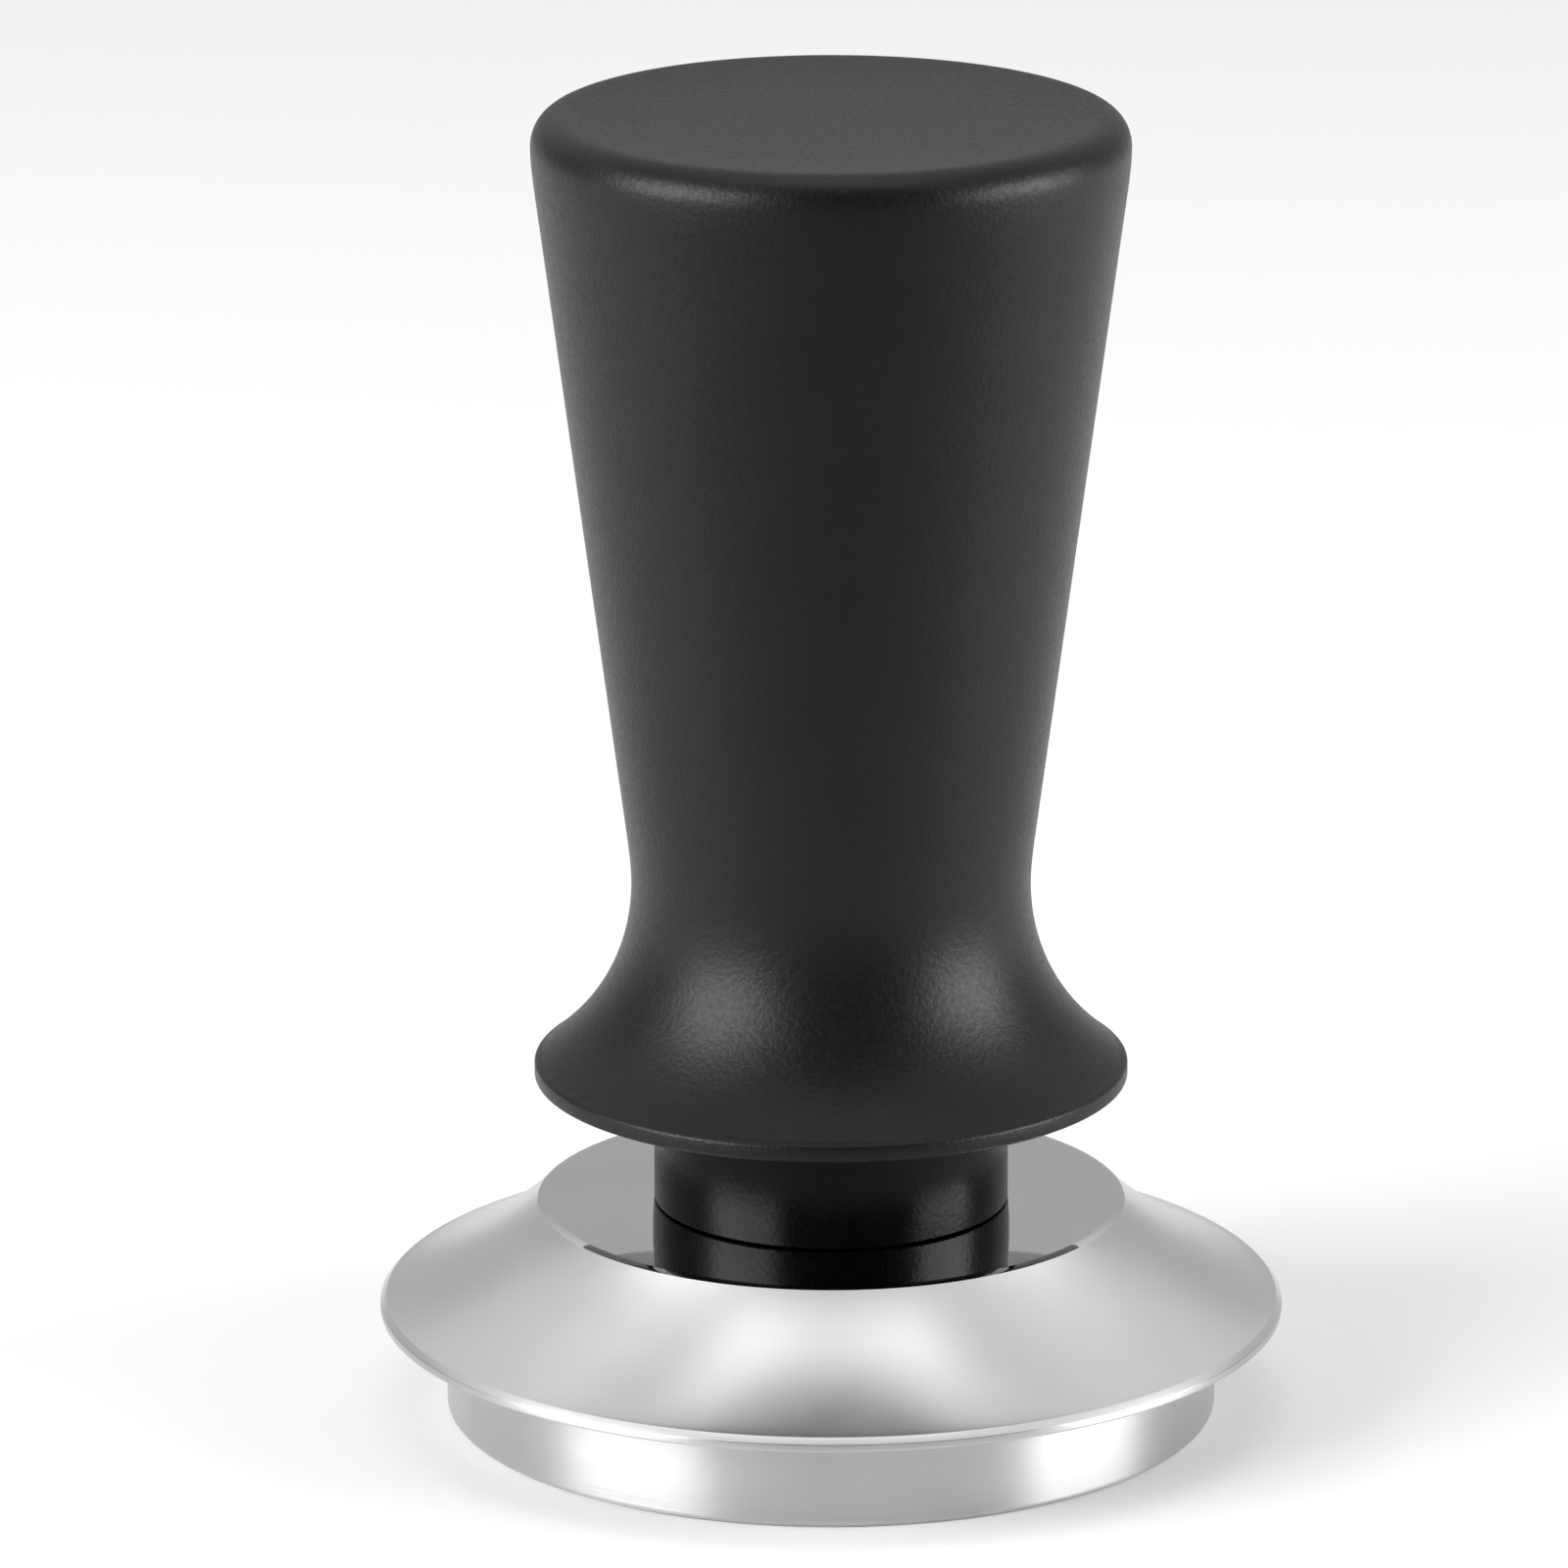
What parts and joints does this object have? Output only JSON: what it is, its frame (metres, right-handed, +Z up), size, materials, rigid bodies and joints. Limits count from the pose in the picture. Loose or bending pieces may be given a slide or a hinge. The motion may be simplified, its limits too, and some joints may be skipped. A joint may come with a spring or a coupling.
{
  "type": "espresso tamper",
  "caption": "Spring-loaded self-levelling espresso tamper: flared matt black handle on a black neck, a bell-shaped polished levelling skirt and a flat steel tamping base.",
  "frame": {"origin": "centre of the flat tamping face, on the turning axis", "axes": "+Z up the turning axis, from the tamping face towards the palm rest; every piece is round about Z, so X and Y are any two directions across it"},
  "size_m": [0.068, 0.068, 0.0994],
  "materials": {
    "black_anodised": "fine bead-blasted, black anodised",
    "polished_steel": "polished; mirror-bright on the flat top",
    "brushed_steel": "turned, fine rings",
    "ground_steel": "ground",
    "spring_steel": "drawn wire",
    "brass": "turned",
    "acetal": "machined, natural white",
    "rubber": "moulded, black"
  },
  "bodies": {
    "base": {"tamper_base": "brushed_steel", "stop_ring": "rubber", "stem": "ground_steel", "stem_washer": "spring_steel", "plunger_nut": "ground_steel", "lock_nut": "ground_steel", "thrust_washer": "ground_steel"},
    "handle_slide": {"guide_bush": "brass"},
    "handle": {"handle_body": "black_anodised", "mouth_ring": "acetal", "retainer_collar": "brass", "collar_seal": "rubber", "return_bumper": "rubber", "main_spring": "spring_steel", "spring_seat": "acetal"},
    "leveler_slide": {"leveler_bush": "brass"},
    "leveler": {"leveler_skirt": "polished_steel", "leveler_sleeve": "black_anodised", "sleeve_lock_ring": "ground_steel", "sleeve_seal": "rubber", "leveler_washer": "ground_steel", "leveler_spring": "spring_steel"}
  },
  "joints": [
    {"name": "handle_press", "type": "slide", "parent": "base", "child": "handle_slide", "axis": [0, 0, 1], "range_m": [-0.004, 0], "stiffness_N_per_m": 20000, "springref_m": 0.003, "deforming": ["main_spring", "leveler_spring"]},
    {"name": "handle_spin", "type": "hinge", "parent": "handle_slide", "child": "handle", "pos_m": [0, 0, 0.0508], "axis": [0, 0, 1], "continuous": true},
    {"name": "leveler_lift", "type": "slide", "parent": "base", "child": "leveler_slide", "axis": [0, 0, 1], "range_m": [0, 0.0055], "stiffness_N_per_m": 1200, "springref_m": -0.004, "deforming": ["leveler_spring"]},
    {"name": "leveler_spin", "type": "hinge", "parent": "leveler_slide", "child": "leveler", "pos_m": [0, 0, 0.015], "axis": [0, 0, 1], "continuous": true}
  ]
}
